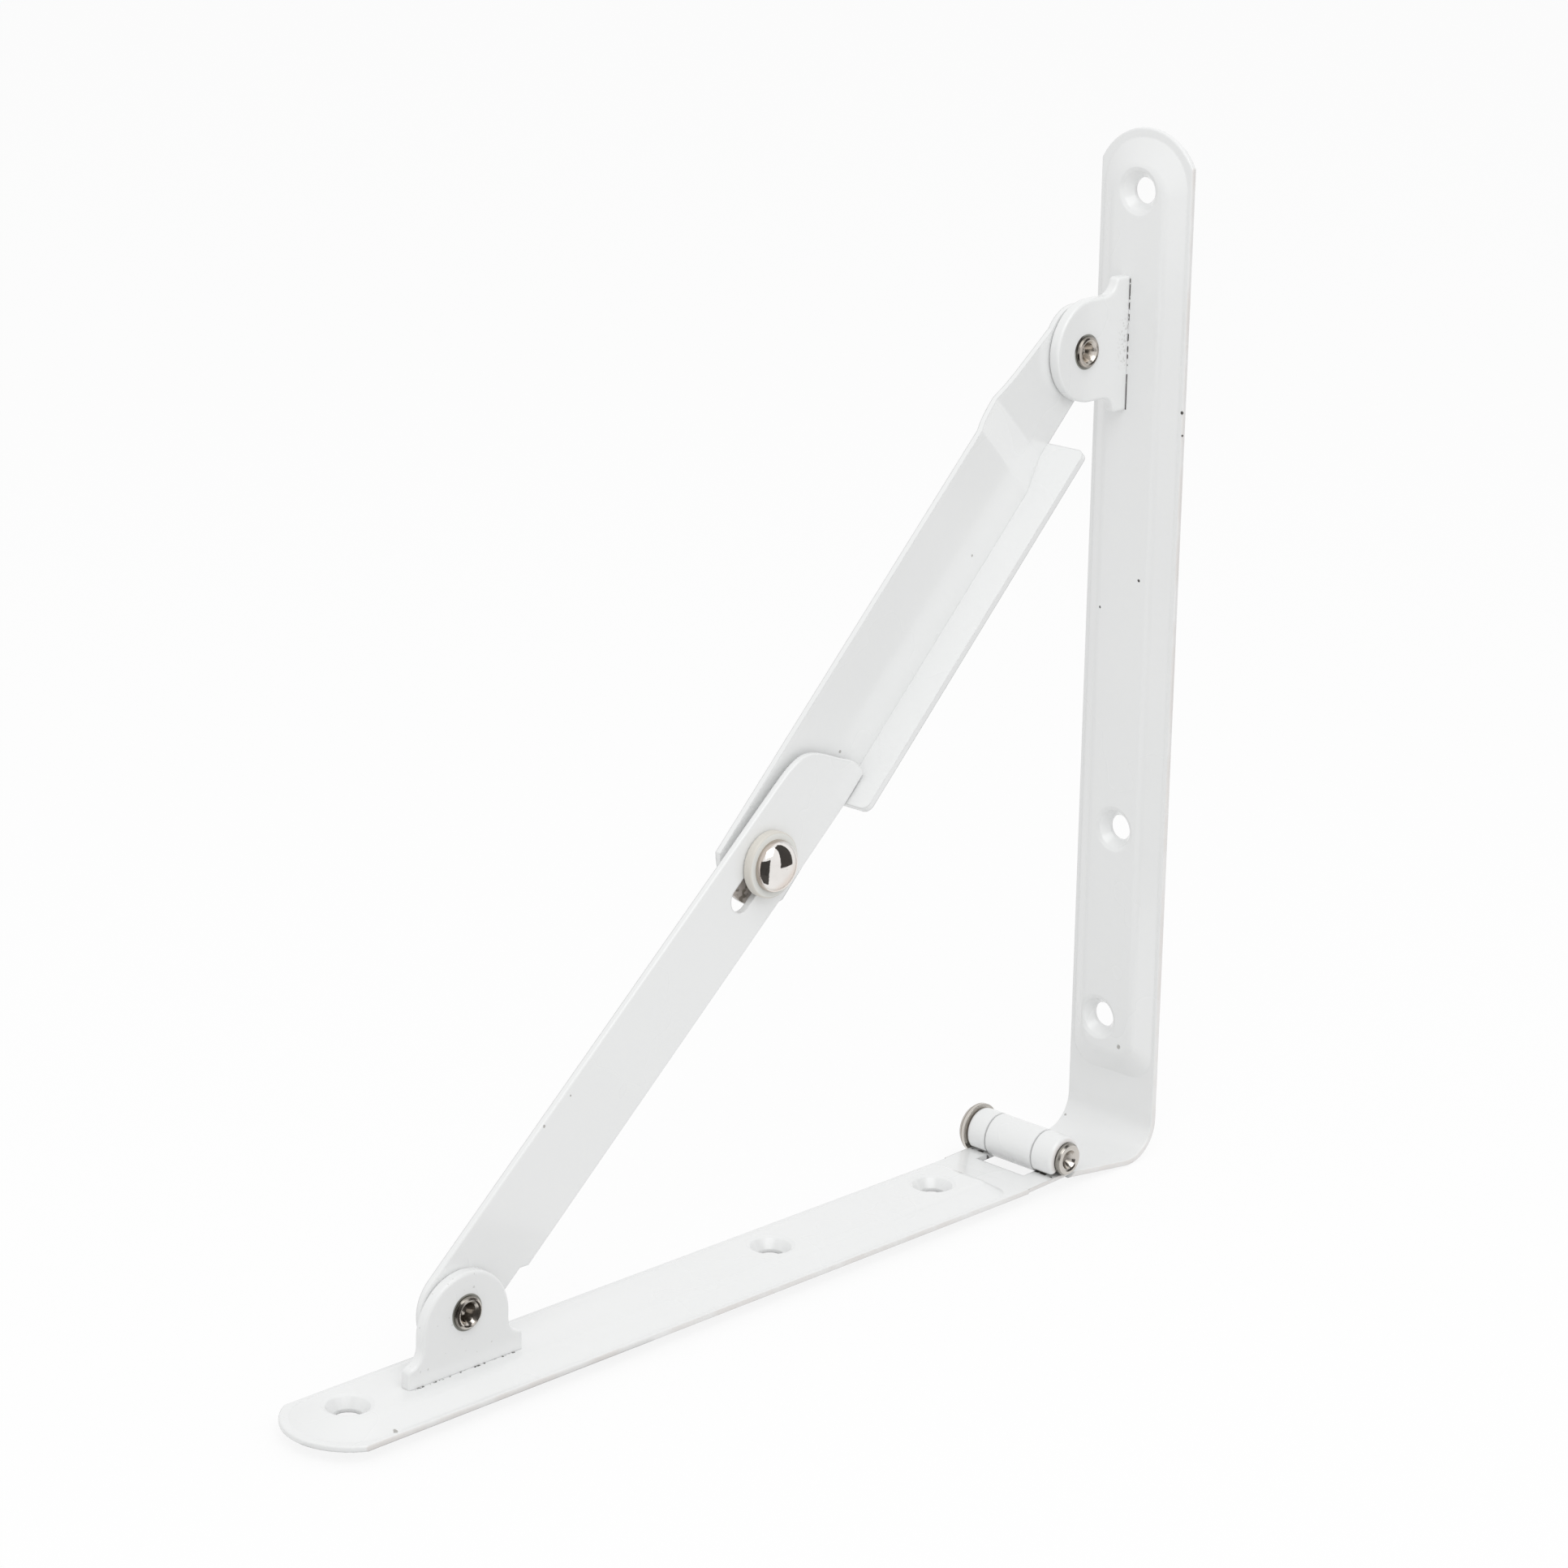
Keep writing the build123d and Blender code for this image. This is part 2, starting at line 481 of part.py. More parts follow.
fold = [
    e
    for e in upper_strut.edges()
    if abs(e.center().Z - UPPER_INNER) < 1e-3 and UPPER_BACK - 1e-3 < e.center().Y and e.length > 2
]
upper_strut = fillet(ShapeList(fold), UPPER_FOLD_R)
upper_strut -= round_bar(KNEE_PIN_R, UPPER_FRONT - 1, UPPER_BACK + 1, UPPER_KNEE_U, UPPER_KNEE_OFFSET)
upper_strut -= round_bar(PIVOT_R, UPPER_END_FRONT - 1, UPPER_END_BACK + 1)
upper_strut = UPPER * upper_strut

# ---- knee: the pin is parted at the plane between the two webs ----
knee = HINGE * Pos(KNEE_X, 0, KNEE_Z)
washer_back = LOWER_FRONT - SIDE_GAP
washer_front = washer_back - KNEE_WASHER_T
knee_washer = across(Circle(KNEE_WASHER_R) - Circle(KNEE_PIN_R), washer_front, washer_back)
knee_washer = fillet(knee_washer.edges().filter_by(lambda e: e.length > 30), 0.4)
knee_washer = knee * knee_washer
dome_base = washer_front - KNEE_DOME_RIM
dome = make_face(
    Line((0, dome_base - KNEE_DOME_RISE), (0, LOWER_BACK + SIDE_GAP / 2))
    + Line((0, LOWER_BACK + SIDE_GAP / 2), (KNEE_PIN_R, LOWER_BACK + SIDE_GAP / 2))
    + Line((KNEE_PIN_R, LOWER_BACK + SIDE_GAP / 2), (KNEE_PIN_R, washer_front))
    + Line((KNEE_PIN_R, washer_front), (KNEE_DOME_R, washer_front))
    + Line((KNEE_DOME_R, washer_front), (KNEE_DOME_R, dome_base))
    + EllipticalCenterArc((0, dome_base), KNEE_DOME_R, KNEE_DOME_RISE, 270, arc_size=90)
)
knee_pin = knee * revolve(dome, Axis.Y)
knee_spacer = knee * across(Circle(KNEE_SPACER_R) - Circle(KNEE_PIN_R), SPACER_FRONT, UPPER_FRONT)
tail_profile = [
    (0, SPACER_FRONT),
    (KNEE_PIN_R, SPACER_FRONT),
    (KNEE_PIN_R, UPPER_BACK),
    (KNEE_TAIL_HEAD_R, UPPER_BACK),
    (KNEE_TAIL_HEAD_R, UPPER_BACK + KNEE_TAIL_HEAD_T * 0.4),
    (KNEE_TAIL_HEAD_R - 1.0, UPPER_BACK + KNEE_TAIL_HEAD_T),
    (0, UPPER_BACK + KNEE_TAIL_HEAD_T),
]
knee_pin_tail = knee * turned(tail_profile)

PIECES = {
    "shelf_arm": shelf_arm,
    "wall_arm": wall_arm,
    "hinge_pin": hinge_pin,
    "lower_lug": lower_lug,
    "lower_lug_rivet": lower_lug_rivet,
    "upper_lug": upper_lug,
    "upper_lug_rivet": upper_lug_rivet,
    "lower_strut": lower_strut,
    "upper_strut": upper_strut,
    "knee_pin": knee_pin,
    "knee_washer": knee_washer,
    "knee_spacer": knee_spacer,
    "knee_pin_tail": knee_pin_tail,
}
for name, piece in PIECES.items():
    export_step(piece, f"parts/{name}.step")
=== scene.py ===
import json
from math import radians

import bmesh
import bpy
from mathutils import Matrix, Vector


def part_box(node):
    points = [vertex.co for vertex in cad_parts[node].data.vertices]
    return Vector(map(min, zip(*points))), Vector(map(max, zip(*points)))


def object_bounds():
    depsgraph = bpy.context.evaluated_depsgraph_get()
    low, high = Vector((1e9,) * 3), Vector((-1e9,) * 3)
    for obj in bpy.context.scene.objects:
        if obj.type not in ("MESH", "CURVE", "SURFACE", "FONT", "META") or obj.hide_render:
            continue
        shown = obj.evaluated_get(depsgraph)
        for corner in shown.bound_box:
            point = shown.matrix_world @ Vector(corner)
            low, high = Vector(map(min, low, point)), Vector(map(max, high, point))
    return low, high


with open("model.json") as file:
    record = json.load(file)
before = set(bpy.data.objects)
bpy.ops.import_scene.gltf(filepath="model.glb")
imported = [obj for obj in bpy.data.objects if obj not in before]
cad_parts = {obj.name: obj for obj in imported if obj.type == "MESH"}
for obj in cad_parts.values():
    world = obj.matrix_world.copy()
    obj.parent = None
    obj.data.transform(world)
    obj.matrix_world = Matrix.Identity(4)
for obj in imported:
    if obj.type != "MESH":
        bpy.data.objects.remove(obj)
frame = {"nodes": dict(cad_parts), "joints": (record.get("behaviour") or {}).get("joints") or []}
cad_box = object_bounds()


# ---- Shelf arm ----
# The long arm under the shelf is 1.1 mm steel strip, pressed to a crown and rolled round the hinge pin at one
# end. It is dusted with gloss white powder, which bakes to a faint orange peel and pulls thin and warm on the
# sheared edges.
class Amount:
    """A number that varies over a surface. Arithmetic on it adds the Math nodes."""

    def __init__(self, nodes, socket):
        self.nodes = nodes
        self.socket = socket

    def math(self, operation, *terms):
        node = self.nodes.add("ShaderNodeMath", dict(enumerate(terms)), operation=operation)
        return Amount(self.nodes, node.outputs[0])

    def __add__(self, other):
        return self.math("ADD", self, other)

    def __sub__(self, other):
        return self.math("SUBTRACT", self, other)

    def __rsub__(self, other):
        return self.math("SUBTRACT", other, self)

    def __mul__(self, other):
        return self.math("MULTIPLY", self, other)

    def __or__(self, other):
        return self.math("MAXIMUM", self, other)

    def __abs__(self):
        return self.math("ABSOLUTE", self)

    __radd__ = __add__
    __rmul__ = __mul__
    __ror__ = __or__


class Nodes:
    """A node tree, grown one node at a time."""

    def __init__(self, tree):
        self.tree = tree

    def set(self, socket, value):
        """Links what varies to a socket, or writes a plain value into it."""
        value = value.socket if isinstance(value, Amount) else value
        if isinstance(value, bpy.types.NodeSocket):
            self.tree.links.new(value, socket)
        else:
            socket.default_value = value

    def add(self, kind, sockets, **settings):
        """A node of one kind, with its settings made before its sockets."""
        node = self.tree.nodes.new(kind)
        for name, setting in settings.items():
            setattr(node, name, setting)
        for name, value in sockets.items():
            self.set(node.inputs[name], value)
        return node


class Finish(Nodes):
    """One surface finish. Its tone and relief are laid on, then marked, and the pieces are dressed in it."""

    def __init__(self, name, roughness=0.5, metallic=0.0, coat=0.0):
        self.material = bpy.data.materials.new(name)
        self.material.use_nodes = True
        super().__init__(self.material.node_tree)
        self.surface = self.tree.nodes["Principled BSDF"]
        self.feed("Roughness", roughness)
        self.feed("Metallic", metallic)
        self.feed("Coat Weight", coat)
        self.feed("Coat Roughness", 0.1)
        self.place = self.add("ShaderNodeTexCoord", {}).outputs["Object"]
        axes = self.add("ShaderNodeSeparateXYZ", {"Vector": self.place}).outputs
        self.x, self.y, self.z = [Amount(self, axis) for axis in axes]

    def feed(self, name, value):
        self.set(self.surface.inputs[name], value)

    def noise(self, scale, detail=2.0):
        sockets = {"Vector": self.place, "Scale": scale, "Detail": detail}
        return Amount(self, self.add("ShaderNodeTexNoise", sockets).outputs["Fac"])

    def ramp(self, amount, low, high, to_low=0.0, to_high=1.0):
        """to_low where the amount is low or less, rising smoothly to to_high."""
        sockets = {"Value": amount, "From Min": low, "From Max": high, "To Min": to_low, "To Max": to_high}
        eased = self.add("ShaderNodeMapRange", sockets, interpolation_type="SMOOTHSTEP")
        return Amount(self, eased.outputs["Result"])

    def within(self, amount, full, gone):
        """1 where the amount is full or less, falling smoothly to 0 at gone."""
        return self.ramp(amount, full, gone, 1.0, 0.0)

    def away(self, centre, flat=False):
        """Distance from a point, or from the line through it square to the bracket's side."""
        place = self.place
        if flat:
            place = self.add("ShaderNodeCombineXYZ", {"X": self.x, "Y": centre[1], "Z": self.z}).outputs[0]
        node = self.add("ShaderNodeVectorMath", {0: place, 1: centre}, operation="DISTANCE")
        return Amount(self, node.outputs["Value"])

    def flecks(self, *chips):
        """1 inside small chips of ragged outline, each given as its centre and radius."""
        chipped = 0.0
        ragged = self.noise(2600.0) - 0.5
        for centre, radius in chips:
            reach = self.away(centre) + ragged * radius
            chipped = chipped | self.within(reach, radius * 0.7, radius * 1.15)
        return chipped

    def seam(self, along, off, start, stop, half, cover, scale):
        """1 along a broken dark line from start to stop. cover is how much of it is dark, 0.3 to 0.7."""
        middle, reach = (start + stop) / 2, (stop - start) / 2
        length = self.within(abs(along - middle), reach, reach + half)
        width = self.within(abs(off), half * 0.6, half * 1.2)
        return length * width * self.ramp(self.noise(scale, detail=0.0) + cover, 1.0, 1.05)

    def ring(self, centre, radius, half):
        """1 along a thin circle round the line through centre."""
        return self.within(abs(self.away(centre, flat=True) - radius), half * 0.5, half)

    def blend(self, amount, first, second):
        """Mixes two colours. The Mix node's colours are its sockets 6 and 7, and come out of its third."""
        return self.add("ShaderNodeMix", {0: amount, 6: first, 7: second}, data_type="RGBA").outputs[2]

    def lay(self, tone, relief, depth, rounding):
        """The finish as it leaves the line: its tone, its relief, and how round it makes the sharp edges."""
        self.tone = tone
        self.relief = relief
        self.depth = depth
        self.rounding = rounding

    def mark(self, amount, colour, sink=0.0):
        """Wear on top: a colour, and how far it sinks into the relief."""
        self.tone = self.blend(amount, self.tone, (*colour, 1))
        self.relief = self.relief - amount * sink

    def dress(self, *nodes):
        self.feed("Base Color", self.tone)
        rounded = self.add("ShaderNodeBevel", {"Radius": self.rounding}, samples=6)
        sockets = {"Height": self.relief, "Distance": self.depth, "Normal": rounded.outputs["Normal"]}
        self.feed("Normal", self.add("ShaderNodeBump", sockets).outputs["Normal"])
        for name in nodes:
            mesh = frame["nodes"][name].data
            mesh.materials.clear()
            mesh.materials.append(self.material)


chip_and_shade_dark = (0.045, 0.04, 0.036)
scuff_grey = (0.46, 0.45, 0.43)


def powder_coat(name):
    """Gloss white powder coat: a slow cloud in its white and gloss, and a faint orange peel."""
    coat = Finish(name, coat=0.4)
    cloud = coat.noise(28.0, detail=3.0)
    coat.feed("Roughness", coat.ramp(cloud, 0.3, 0.7, 0.24, 0.34))
    lean_white = (0.865, 0.875, 0.872, 1)
    full_white = (0.905, 0.91, 0.908, 1)
    orange_peel = coat.noise(620.0)
    coat.lay(coat.blend(cloud, lean_white, full_white), orange_peel, depth=0.00002, rounding=0.0004)
    return coat


def thin_edge(coat, half_width):
    """The powder on the sheared long edges is thinner, and shows the steel's warmth."""
    rim = coat.ramp(abs(coat.y), half_width - 0.00025, half_width - 0.00005)
    thinness = coat.ramp(coat.noise(150.0), 0.3, 0.6, 0.1, 0.45)
    steel_warm = (0.74, 0.68, 0.64)
    coat.mark(rim * thinness, steel_warm)


shelf_white = powder_coat("shelf_arm_white")
strip_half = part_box("shelf_arm")[1].y
thin_edge(shelf_white, strip_half)

lug_low, lug_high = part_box("lower_lug")
pores = shelf_white.seam(
    along=shelf_white.x,
    off=shelf_white.y - (lug_low.y - 0.0001),
    start=lug_low.x + 0.001,
    stop=lug_high.x - 0.002,
    half=0.00022,
    cover=shelf_white.ramp(shelf_white.x, lug_low.x + 0.002, (lug_low.x + lug_high.x) / 2, 0.36, 0.43),
    scale=1900.0,
)
crown_face = shelf_white.ramp(shelf_white.z, lug_low.z - 0.0006, lug_low.z - 0.0003)

roll_foot = 0.0225
at_roll = {"along": shelf_white.y, "off": shelf_white.x - roll_foot, "half": 0.00045, "scale": 800.0}
near_crack = shelf_white.seam(start=-0.0104, stop=-0.0055, cover=0.52, **at_roll)
far_crack = shelf_white.seam(start=0.0058, stop=0.0105, cover=0.50, **at_roll)
plate_face = shelf_white.within(shelf_white.z, 0.0009, 0.0013)
shelf_white.mark(pores * crown_face | (near_crack | far_crack) * plate_face, chip_and_shade_dark, sink=2.0)

free_end_scuff = shelf_white.flecks(((-0.1381, -0.0094, 0.0001), 0.00045))
shelf_white.mark(free_end_scuff, scuff_grey, sink=1.0)
shelf_white.dress("shelf_arm")

# ---- Wall arm ----
# The same strip, turned up at the foot and screwed to the wall. A hairline stays open along the lug's base
# where the powder didn't bridge, and the sharp outer edge has a couple of chips.
wall_white = powder_coat("wall_arm_white")
thin_edge(wall_white, strip_half)

wall_lug_low, wall_lug_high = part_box("upper_lug")
line_foot = wall_white.within(wall_white.z, wall_lug_low.z + 0.0060, wall_lug_low.z + 0.0075)
line_head = wall_white.ramp(wall_white.z, wall_lug_low.z + 0.0155, wall_lug_low.z + 0.0180)
hairline = wall_white.seam(
    along=wall_white.z,
    off=wall_white.y - (wall_lug_low.y - 0.00005),
    start=wall_lug_low.z + 0.0003,
    stop=wall_lug_high.z - 0.0006,
    half=0.00018,
    cover=0.50 + line_foot * 0.25 + line_head * 0.13,
    scale=1300.0,
)
lug_face = wall_white.within(wall_white.x, wall_lug_high.x + 0.0003, wall_lug_high.x + 0.0006)

edge_chips = wall_white.flecks(((0.0480, -0.0104, 0.1418), 0.00038), ((0.0484, -0.0105, 0.1376), 0.00025))
crown_specks = wall_white.flecks(((0.0465, -0.0037, 0.1096), 0.0003), ((0.0466, 0.0053, 0.1029), 0.00025))
wall_white.mark(hairline * lug_face | edge_chips | crown_specks, chip_and_shade_dark, sink=2.0)

foot_scuffs = wall_white.flecks(((0.0483, -0.0033, 0.0180), 0.00045), ((0.0494, 0.0096, 0.0001), 0.0004))
wall_white.mark(foot_scuffs, scuff_grey, sink=1.0)
wall_white.dress("wall_arm")

# ---- Pivot lugs ----
# Thick pressed lugs stand on each arm's crown and carry the strut rivets. They are coated with the arm that
# they are fixed to. A hair-thin ring of painted shade lies in the gap round each rivet's foot.
pivots = {joint["name"]: Vector(joint["pos_m"]) for joint in frame["joints"] if "pos_m" in joint}
rolled_radius = 0.0029


def lug_coat(name, pivot, low, rivet_foot_shade):
    """The last argument darkens the painted shade round the rivet's foot on one side, up and away from the
    hinge.
    """
    coat = powder_coat(name)
    centre = (pivot.x, low.y, pivot.z)
    # A thin grey ring of painted shade in the gap round the rivet's foot, darker on one side below.
    ring_grey = (0.30, 0.30, 0.27)
    coat.mark(coat.ring(centre, rolled_radius + 0.0001, 0.0003), ring_grey)
    up_and_away = (coat.z - pivot.z) * 0.6 - (coat.x - pivot.x) * 0.8
    shaded_side = coat.ramp(up_and_away, 0.0024, 0.0029)
    coat.mark(coat.ring(centre, rolled_radius + 0.00015, 0.0003) * shaded_side * rivet_foot_shade, chip_and_shade_dark)
    return coat


lower_lug_white = lug_coat("lower_lug_white", pivots["lower_strut_pivot"], lug_low, rivet_foot_shade=0.3)
dots = lower_lug_white.ramp(lower_lug_white.noise(1300.0, detail=0.0), 0.785, 0.81)
lower_lug_white.mark(dots * 0.4, scuff_grey, sink=1.0)
lower_lug_white.dress("lower_lug")

upper_lug_white = lug_coat("upper_lug_white", pivots["upper_strut_pivot"], wall_lug_low, rivet_foot_shade=1.0)
by_base = upper_lug_white.ramp(upper_lug_white.x, wall_lug_high.x - 0.0040, wall_lug_high.x - 0.0010)
half_way_up = wall_lug_low.z + 0.013
by_middle = upper_lug_white.within(abs(upper_lug_white.z - half_way_up), 0.003, 0.006)
grit = upper_lug_white.ramp(upper_lug_white.noise(2200.0, detail=0.0), 0.62, 0.66)
upper_lug_white.mark(grit * by_base * by_middle * 0.35, scuff_grey, sink=0.5)
upper_lug_white.dress("upper_lug")

# ---- Struts ----
# Two struts of folded steel sheet, coated like the arms, make the brace. The upper one is an L section with
# a stiff flange and the lower one has the slot. The knee has rubbed the upper one to bare steel round the
# pin, and both have small specks.
lower_white = powder_coat("lower_strut_white")
lower_specks = lower_white.flecks(((-0.0984, -0.0009, 0.0394), 0.0003), ((-0.0925, -0.0009, 0.0433), 0.0002))
lower_white.mark(lower_specks, scuff_grey, sink=1.0)
lower_white.dress("lower_strut")

upper_white = powder_coat("upper_strut_white")
upper_specks = upper_white.flecks(
    ((-0.0286, 0.0014, 0.0881), 0.0004),
    ((-0.0272, 0.0014, 0.0898), 0.0003),
    ((0.0055, 0.0014, 0.1197), 0.00025),
)
upper_white.mark(upper_specks, scuff_grey, sink=1.0)

knee_low, knee_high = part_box("knee_pin")
knee = (knee_low + knee_high) / 2
slide = next(Vector(joint["axis"]) for joint in frame["joints"] if joint["name"] == "knee_slide")
off_slot = (upper_white.x - knee.x) * slide.z - (upper_white.z - knee.z) * slide.x
rub_edge = upper_white.away((knee.x, 0, knee.z), flat=True) + (upper_white.noise(400.0) - 0.5) * 0.002
round_pin = upper_white.within(rub_edge, 0.0084, 0.0092)
along_slot = upper_white.within(abs(off_slot), 0.0035, 0.0045)
front_face = upper_white.within(upper_white.y, 0.0020, 0.0026)
rubbed = round_pin * along_slot * front_face
scratches = upper_white.ramp(upper_white.noise(900.0, detail=4.0), 0.5, 0.62)
bare_steel = (0.52, 0.47, 0.43)
worn_dark = (0.22, 0.19, 0.16)
upper_white.mark(rubbed, bare_steel)
upper_white.mark(rubbed * scratches, worn_dark)
upper_white.dress("upper_strut")


# ---- Hinge pin and lug rivets ----
# Nickel-plated steel rivets, each with a hollow end rolled over by the setting tool, which leaves fine rings
# and a bright lip. Painted shade darkens the hollows and the rings round their feet, and painted dark
# reflection darkens the hinge pin's far head.
def plated(name, colour, roughness, spread):
    """Bright plating with a fine grain. Smears dull its tone, and its gloss by as much as spread."""
    plate = Finish(name, metallic=1.0)
    smear = plate.noise(260.0, detail=4.0)
    plate.feed("Roughness", plate.ramp(smear, 0.25, 0.75, roughness - spread, roughness + spread))
    smeared = tuple(0.8 * part for part in colour)
    grain = plate.noise(1800.0, detail=1.0)
    plate.lay(plate.blend(smear, (*colour, 1), (*smeared, 1)), grain, depth=0.000006, rounding=0.0001)
    return plate


def rivet(name, node, pivot, lug_front, dull):
    """A lug's rivet. Its marks are on the rolled end, in front of the lug. dull is how scuffed its lip is."""
    plate = plated(name, (0.70, 0.655, 0.60), roughness=0.2, spread=0.07)
    centre = (pivot.x, 0, pivot.z)
    out = plate.away(centre, flat=True)
    rolled_end = plate.within(plate.y, lug_front + 0.002, lug_front + 0.0024)
    hollow = plate.within(out, 0.0010, 0.0019)
    lip = plate.ring(centre, rolled_radius - 0.0002, 0.0005)
    tool_rings = plate.ramp(out.math("PINGPONG", out, 0.0002), 0.0, 0.0002)
    foot = plate.ring(centre, rolled_radius + 0.00005, 0.0003)
    hollow_shade_brown = (0.22, 0.18, 0.15)
    lip_brown = (0.36, 0.31, 0.27)
    ring_grey = (0.3, 0.28, 0.26)
    foot_shade_dark = (0.16, 0.15, 0.13)
    # Painted shade: brown in the hollow and a dark ring at the rivet's foot.
    plate.mark(hollow * rolled_end * 0.3, hollow_shade_brown)
    plate.mark(lip * rolled_end * dull, lip_brown)
    plate.mark(tool_rings * rolled_end * 0.12, ring_grey)
    plate.mark(foot * rolled_end * 0.8, foot_shade_dark)
    plate.dress(node)


rivet("lower_rivet_nickel", "lower_lug_rivet", pivots["lower_strut_pivot"], lug_low.y, dull=0.1)
rivet("upper_rivet_nickel", "upper_lug_rivet", pivots["upper_strut_pivot"], wall_lug_low.y, dull=0.45)

hinge = pivots["arm_fold"]
pin_nickel = plated("hinge_pin_nickel", (0.66, 0.625, 0.58), roughness=0.2, spread=0.07)
near_end = pin_nickel.within(pin_nickel.y, 0.0, 0.0005)
pin_hollow = pin_nickel.within(pin_nickel.away(hinge, flat=True), 0.0008, 0.0016)
pin_foot = pin_nickel.ring(hinge, radius=0.00305, half=0.00025)
head_face = pin_nickel.within(abs(pin_nickel.y - 0.0114), 0.0001, 0.0003)
head_corner = pin_nickel.within(abs(pin_nickel.y - 0.0119), 0.00005, 0.00015)
hollow_shade_dark = (0.14, 0.12, 0.10)
foot_shade_grey = (0.2, 0.19, 0.17)
face_shade_and_dirt_brown = (0.20, 0.17, 0.14)
corner_reflection_dark = (0.12, 0.10, 0.09)
# Painted shade in the near end's hollow and round the pin's foot. Painted shade with some dirt on the far
# head's face, and a painted dark reflection on its corner.
pin_nickel.mark(pin_hollow * near_end * 0.7, hollow_shade_dark)
pin_nickel.mark(pin_foot * near_end * 0.7, foot_shade_grey)
pin_nickel.mark(head_face * 0.75, face_shade_and_dirt_brown)
pin_nickel.mark(head_corner * 0.6, corner_reflection_dark)
pin_nickel.dress("hinge_pin")

# ---- Knee pin, nylon washer and spacer ----
# A polished domed pin joins the struts through the slot. It bears on an off-white nylon washer in front, and
# a plain zinc-plated spacer keeps the two webs apart.
knee_chrome = plated("knee_chrome", (0.90, 0.87, 0.84), roughness=0.07, spread=0.03)
# Painted reflection: a warm darker tint over the dome's lower side towards the wall arm, and a brown ring
# round its rim.
painted_reflection = knee_chrome.ramp((knee_chrome.x - knee.x) - (knee_chrome.z - knee.z), 0.0005, 0.0035)
dome_rim = knee_chrome.ring(knee, radius=0.0046, half=0.00025)
reflection_warm = (0.70, 0.60, 0.53)
rim_reflection_brown = (0.42, 0.33, 0.26)
knee_chrome.mark(painted_reflection * 0.75, reflection_warm)
knee_chrome.mark(dome_rim * 0.6, rim_reflection_brown)
knee_chrome.dress("knee_pin", "knee_pin_tail")

zinc = plated("spacer_zinc", (0.50, 0.51, 0.52), roughness=0.38, spread=0.08)
zinc.dress("knee_spacer")

nylon = Finish("washer_nylon", roughness=0.4)
mould = nylon.noise(300.0)
greyer_nylon = (0.80, 0.81, 0.775, 1)
clean_nylon = (0.86, 0.865, 0.83, 1)
nylon.lay(nylon.blend(mould, greyer_nylon, clean_nylon), mould, depth=0.00001, rounding=0.0003)
grimy_edge = nylon.ring(knee, radius=0.0059, half=0.0004)
grime = (0.62, 0.56, 0.48)
nylon.mark(grimy_edge * 0.5, grime)
nylon.dress("knee_washer")

# ---- Studio table and sky ----
# The bracket stands on a white table under a white sky, so that only its own shading and a soft shadow show.
# Both are pure white to the lens and in the metal, and light the bracket a little less than that.
low, high = [Vector(corner) for corner in cad_box]
pure_white = (1, 1, 1, 1)


def set_up(name, shape, finish):
    """A thing of the studio's, from its bmesh."""
    mesh = bpy.data.meshes.new(name)
    shape.to_mesh(mesh)
    shape.free()
    mesh.materials.append(finish.material)
    thing = bpy.data.objects.new(name, mesh)
    bpy.context.scene.collection.objects.link(thing)
    return thing


def seen_rays(nodes):
    """1 for what the lens, a reflection or glass sees, 0 for light on its way to a surface."""
    rays = nodes.add("ShaderNodeLightPath", {}).outputs
    seen = Amount(nodes, rays["Is Camera Ray"]) | Amount(nodes, rays["Is Glossy Ray"])
    return seen | Amount(nodes, rays["Is Transmission Ray"])


def show(nodes, share, lit, seen, output):
    """Sends one shader to the output, and another in its stead for this share of the rays."""
    mixed = nodes.add("ShaderNodeMixShader", {0: share, 1: lit.outputs[0], 2: seen.outputs[0]})
    nodes.set(nodes.tree.nodes[output].inputs["Surface"], mixed.outputs[0])


table_white = Finish("table_white", roughness=0.9)
table_white.feed("Specular IOR Level", 0.0)
in_view = seen_rays(table_white)
lighting_white = (0.80, 0.80, 0.80, 1)
seen_white = (0.98, 0.98, 0.98, 1)
table_white.feed("Base Color", table_white.blend(in_view, lighting_white, seen_white))
glow = table_white.add("ShaderNodeEmission", {"Color": pure_white, "Strength": 1.0})
glow_share = 0.86
show(table_white, in_view * glow_share, table_white.surface, glow, "Material Output")
under_bracket = Matrix.Translation((0, 0, low.z - 0.0002))
table_top = bmesh.new()
bmesh.ops.create_grid(table_top, x_segments=1, y_segments=1, size=3.0, matrix=under_bracket)
set_up("table", table_top, table_white)

sky = bpy.data.worlds.new("studio_sky")
sky.use_nodes = True
sky_nodes = Nodes(sky.node_tree)
sky_light = sky_nodes.add("ShaderNodeBackground", {"Color": pure_white, "Strength": 0.765})
sky_seen = sky_nodes.add("ShaderNodeBackground", {"Color": pure_white, "Strength": 1.0})
show(sky_nodes, seen_rays(sky_nodes), sky_light, sky_seen, "World Output")
bpy.context.scene.world = sky

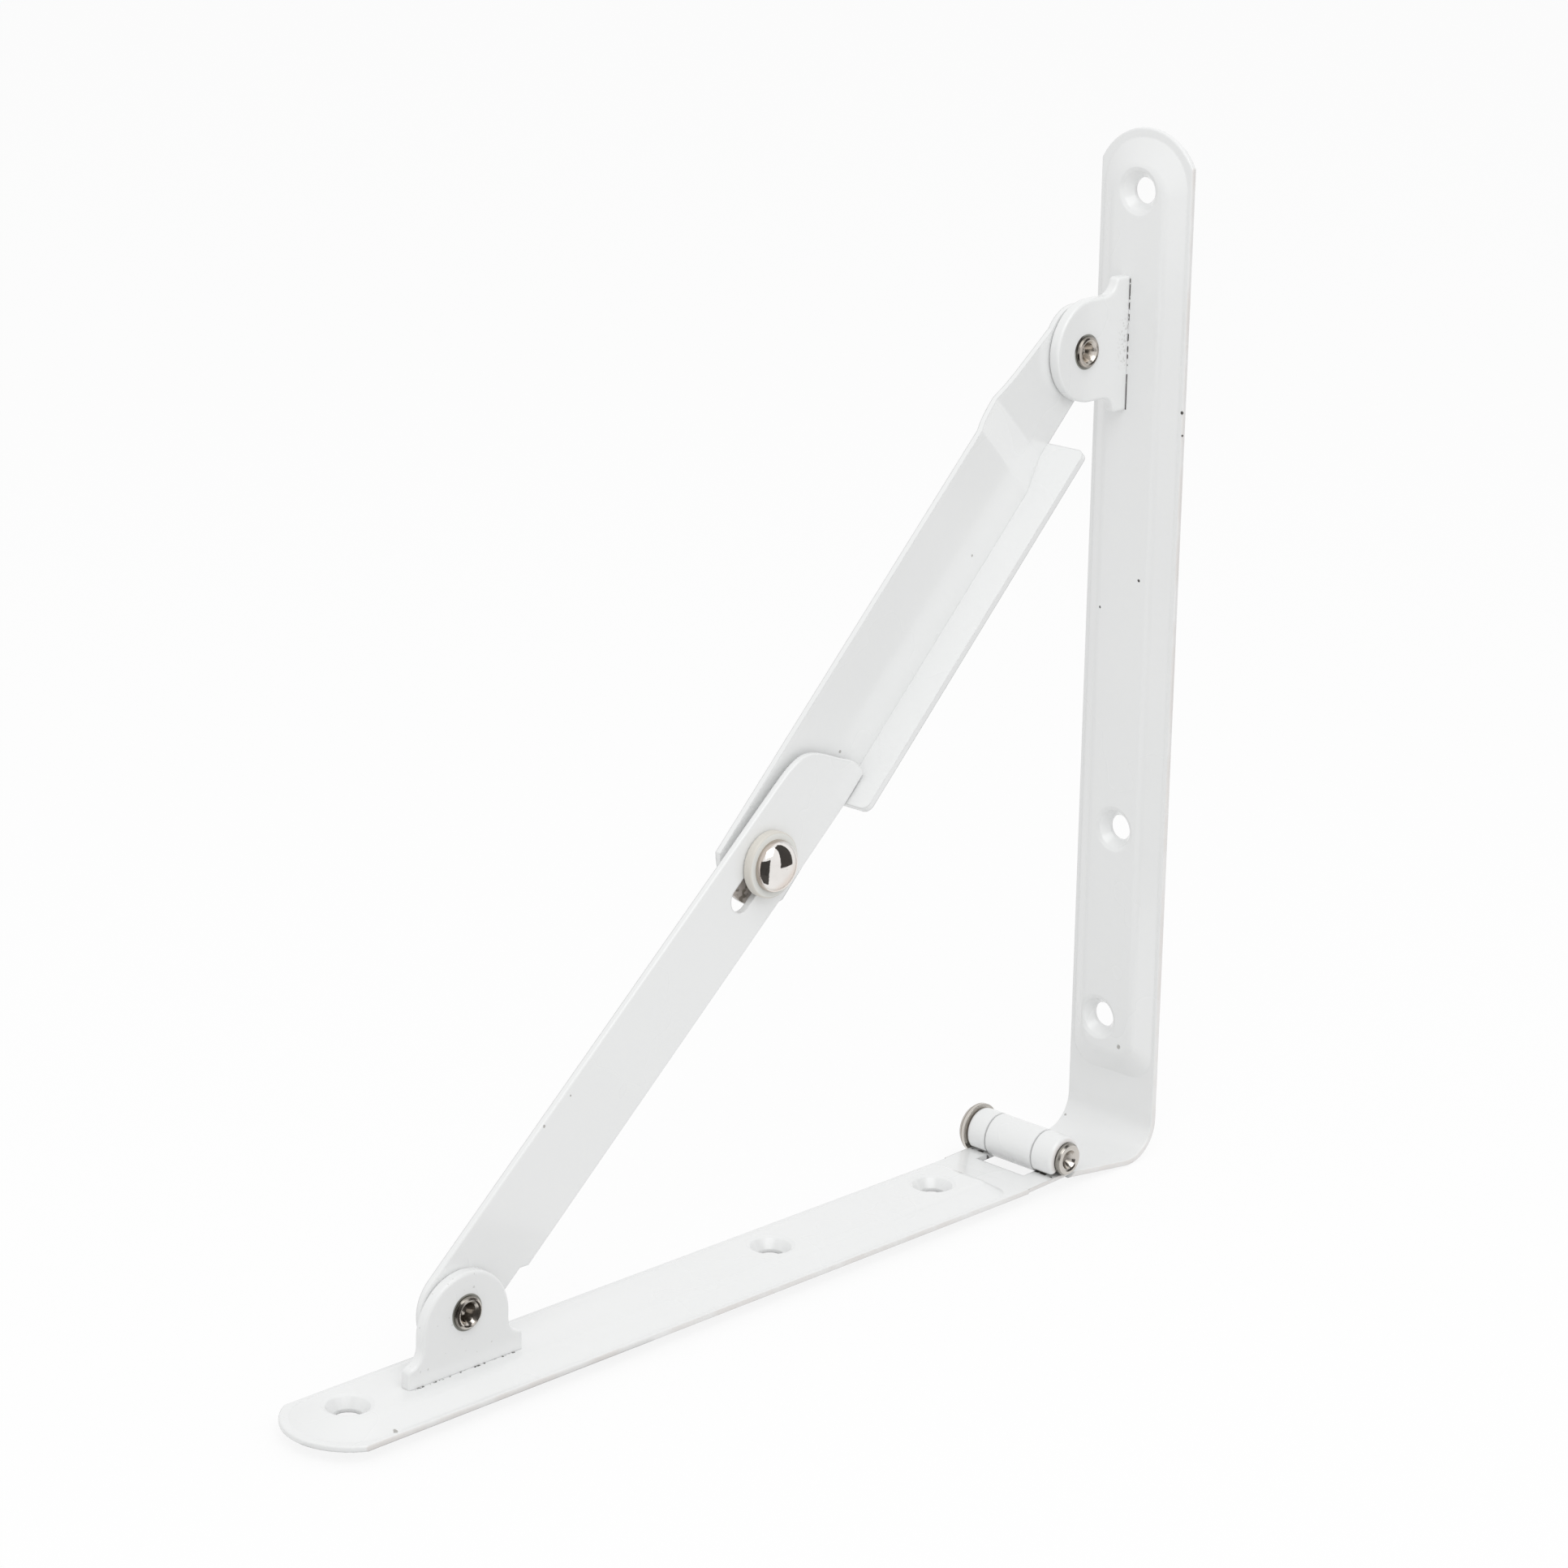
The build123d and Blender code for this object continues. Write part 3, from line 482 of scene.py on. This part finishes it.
# ---- Studio light and flags ----
# One softbox over the camera's left shoulder. Black flags stand round the table's front and right, so that
# the metal has something dark to mirror. They throw no shadow, and the lens doesn't see them.
middle = (low + high) / 2
key_way = Vector((-0.30, -0.50, 0.81)).normalized()
key_distance = 1.2
key_light = bpy.data.lights.new("key_softbox", "AREA")
key_light.shape = "SQUARE"
key_light.size = 0.95
key_light.energy = 4.5
key = bpy.data.objects.new("key_softbox", key_light)
bpy.context.scene.collection.objects.link(key)
key_aim = key_way.to_track_quat("Z", "Y").to_matrix().to_4x4()
key.matrix_world = Matrix.Translation(middle + key_way * key_distance) @ key_aim

flag_black = Finish("flag_black", roughness=0.9)
flag_black.feed("Base Color", (0.08, 0.075, 0.07, 1))
flag_black.feed("Specular IOR Level", 0.0)


def flag(name, start, stop, profile):
    """A black card bent round the knee from bearing start to stop, its profile in radius and height."""
    shape = bmesh.new()
    edge = [shape.verts.new((knee.x + radius, 0, low.z + height)) for radius, height in profile]
    rods = [shape.edges.new(pair) for pair in zip(edge, edge[1:])]
    under_knee = (knee.x, 0, 0)
    bmesh.ops.rotate(shape, cent=under_knee, matrix=Matrix.Rotation(radians(start), 3, "Z"), verts=edge)
    sweep = {"axis": (0, 0, 1), "angle": radians(stop - start), "steps": 24}
    bmesh.ops.spin(shape, geom=[*edge, *rods], cent=under_knee, **sweep)
    card = set_up(name, shape, flag_black)
    card.visible_camera = False
    card.visible_diffuse = False
    card.visible_transmission = False
    card.visible_shadow = False


flag("front_flag", 180.0, 250.0, [(0.035, 0.001), (0.13, 0.001), (0.13, 0.13)])
flag("side_flag", 292.0, 336.0, [(0.35, 0.001), (0.35, 0.75)])

# ---- Camera ----
# A long lens on the bracket's open side, a little above the knee, placed from the hinge pin. It looks down
# slightly and leans a degree and a half.
lens = bpy.data.cameras.new("camera")
lens.sensor_width = 36.0
lens.lens = 95.97
camera = bpy.data.objects.new("camera", lens)
bpy.context.scene.collection.objects.link(camera)
stand = hinge + Vector((-0.56384, -0.47243, 0.28784))
bearing = Matrix.Rotation(radians(-46.40), 4, "Z")
tilt = Matrix.Rotation(radians(90 - 16.596), 4, "X")
lean = Matrix.Rotation(radians(1.63), 4, "Z")
camera.matrix_world = Matrix.Translation(stand) @ bearing @ tilt @ lean
bpy.context.scene.camera = camera
bpy.context.scene.view_settings.view_transform = "Standard"
